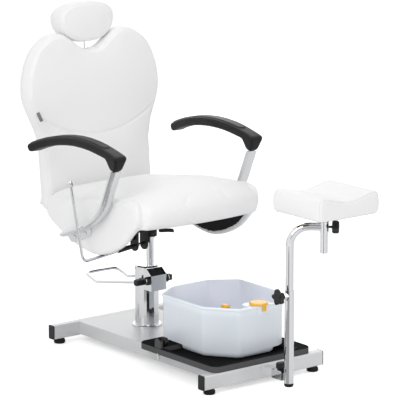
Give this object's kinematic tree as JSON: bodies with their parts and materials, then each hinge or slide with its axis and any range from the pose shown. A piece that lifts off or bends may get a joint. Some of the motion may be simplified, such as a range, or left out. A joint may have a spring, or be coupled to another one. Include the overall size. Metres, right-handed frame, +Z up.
{
  "type": "pedicure chair",
  "caption": "Pedicure chair on a pump base with tray and foot basin, swivel seat with armrests, reclining back with headrest, and an adjustable footrest post.",
  "frame": {"origin": "middle of the bounding box's underside, on the floor", "axes": "+Z up, -Y towards the footrest and the sitter's front, +X towards the sitter's left"},
  "size_m": [0.6432, 1.333, 1.1127],
  "materials": {
    "silver_paint": "fine satin silver coat",
    "chrome": "polished",
    "black_steel": "black powder coat",
    "black_plastic": "satin moulded",
    "black_rubber": "matt",
    "white_leatherette": "smooth coated cloth over foam",
    "black_plywood": "black-stained board",
    "pale_blue_plastic": "glossy moulded",
    "yellow_plastic": "glossy moulded"
  },
  "bodies": {
    "base": {"rear_bar": "silver_paint", "front_bar": "silver_paint", "rear_bar_cap_right": "black_plastic", "rear_bar_cap_left": "black_plastic", "front_bar_cap_right": "black_plastic", "front_bar_cap_left": "black_plastic", "rear_foot_right": "black_rubber", "rear_foot_left": "black_rubber", "front_foot_right": "black_rubber", "front_foot_left": "black_rubber", "base_plate": "silver_paint", "tray": "black_plastic", "pump_flange": "chrome", "pump_cover": "chrome", "pump_cylinder": "black_steel", "footrest_receiver": "silver_paint", "clamp_sleeve": "chrome"},
    "tray_knob": {"tray_knob": "black_plastic"},
    "basin": {"basin": "pale_blue_plastic"},
    "massage_head": {"massage_head": "yellow_plastic"},
    "dial": {"basin_dial": "yellow_plastic"},
    "lift": {"pump_piston": "chrome"},
    "plunger": {"pump_plunger": "chrome"},
    "pedal": {"pedal_shaft": "chrome", "pedal_lug_right": "black_steel", "pedal_lug_left": "black_steel", "pedal_rod": "chrome"},
    "seat": {"seat_cushion": "white_leatherette", "seat_side_right": "white_leatherette", "seat_side_left": "white_leatherette", "seat_board": "black_plywood", "seat_carrier": "black_steel", "arm_pad_right": "black_plastic", "arm_pad_left": "black_plastic", "arm_tube_right": "chrome", "arm_tube_left": "chrome", "recline_bracket": "black_steel", "hinge_bracket_right": "black_steel", "hinge_bracket_left": "black_steel"},
    "lever": {"recline_lever": "chrome", "lever_knob": "chrome", "lever_sleeve": "black_plastic"},
    "swivel_lock": {"swivel_lock": "black_steel"},
    "back": {"backrest": "white_leatherette", "back_board": "black_plywood", "headrest_guide": "black_steel", "hinge_strap_right": "black_steel", "hinge_strap_left": "black_steel"},
    "headrest": {"headrest": "white_leatherette", "headrest_stem": "chrome"},
    "carrier_knob": {"carrier_knob": "black_plastic"},
    "carrier": {"lower_post": "chrome", "post_cap": "black_rubber"},
    "star_knob": {"star_knob": "black_plastic"},
    "upper_post": {"upper_post": "chrome"},
    "collar_knob": {"collar_knob": "black_plastic"},
    "rest": {"rest_stem": "chrome", "rest_board": "black_plywood", "rest_cushion": "white_leatherette"}
  },
  "joints": [
    {"name": "seat_lift", "type": "slide", "parent": "base", "child": "lift", "axis": [0, 0, 1], "range_m": [-0.06, 0.09]},
    {"name": "seat_swivel", "type": "hinge", "parent": "lift", "child": "seat", "pos_m": [0, 0.2376, 0.372], "axis": [0, 0, 1], "continuous": true},
    {"name": "back_recline", "type": "hinge", "parent": "seat", "child": "back", "pos_m": [0, 0.5581, 0.424], "axis": [-1, 0, 0], "range_deg": [0, 40]},
    {"name": "headrest_height", "type": "slide", "parent": "back", "child": "headrest", "axis": [0, 0.0872, 0.9962], "range_m": [0, 0.08]},
    {"name": "recline_lever_pull", "type": "hinge", "parent": "seat", "child": "lever", "pos_m": [-0.309, 0.1881, 0.337], "axis": [-0.9927, -0.0903, -0.0802], "range_deg": [0, 18], "stiffness_Nm_per_rad": 2, "springref_deg": -22.92},
    {"name": "swivel_lock_turn", "type": "hinge", "parent": "seat", "child": "swivel_lock", "pos_m": [0.02, 0.2041, 0.388], "axis": [0, 0, 1], "range_deg": [0, 28]},
    {"name": "pedal_press", "type": "hinge", "parent": "base", "child": "pedal", "pos_m": [0, 0.2021, 0.229], "axis": [-1, 0, 0], "range_deg": [0, 20], "stiffness_Nm_per_rad": 6, "springref_deg": -28.65},
    {"name": "plunger_stroke", "type": "slide", "parent": "base", "child": "plunger", "axis": [0, 0, -1], "range_m": [0, 0.0065]},
    {"name": "footrest_reach", "type": "slide", "parent": "base", "child": "carrier", "axis": [0, -1, 0], "range_m": [0, 0.1]},
    {"name": "carrier_knob_turn", "type": "hinge", "parent": "base", "child": "carrier_knob", "pos_m": [0, -0.439, 0.0623], "axis": [0, 0, 1], "continuous": true},
    {"name": "star_knob_turn", "type": "hinge", "parent": "carrier", "child": "star_knob", "pos_m": [-0.015, -0.4789, 0.311], "axis": [1, 0, 0], "continuous": true},
    {"name": "footrest_height", "type": "slide", "parent": "carrier", "child": "upper_post", "axis": [0, 0, 1], "range_m": [-0.12, 0.1]},
    {"name": "collar_knob_turn", "type": "hinge", "parent": "upper_post", "child": "collar_knob", "pos_m": [0.07625, -0.55254, 0.532], "axis": [0.7193, -0.6947, 0], "continuous": true},
    {"name": "footrest_pad_swivel", "type": "hinge", "parent": "upper_post", "child": "rest", "pos_m": [0.07625, -0.55254, 0.532], "axis": [0, 0, 1], "range_deg": [-90, 90]},
    {"name": "tray_knob_turn", "type": "hinge", "parent": "base", "child": "tray_knob", "pos_m": [-0.2, -0.0619, 0.1013], "axis": [1, 0, 0], "continuous": true},
    {"name": "basin_lift_out", "type": "slide", "parent": "base", "child": "basin", "axis": [0, 0, 1], "range_m": [0, 0.12]},
    {"name": "massage_head_turn", "type": "hinge", "parent": "basin", "child": "massage_head", "pos_m": [0.042, -0.1094, 0.0706], "axis": [0, 0, 1], "continuous": true},
    {"name": "basin_dial_turn", "type": "hinge", "parent": "basin", "child": "dial", "pos_m": [0.042, -0.2779, 0.2356], "axis": [0, 0, 1], "range_deg": [-30, 30]}
  ],
  "couplings": [
    {"joint": "plunger_stroke", "follows": "pedal_press", "m_per_rad": 0.0175}
  ]
}
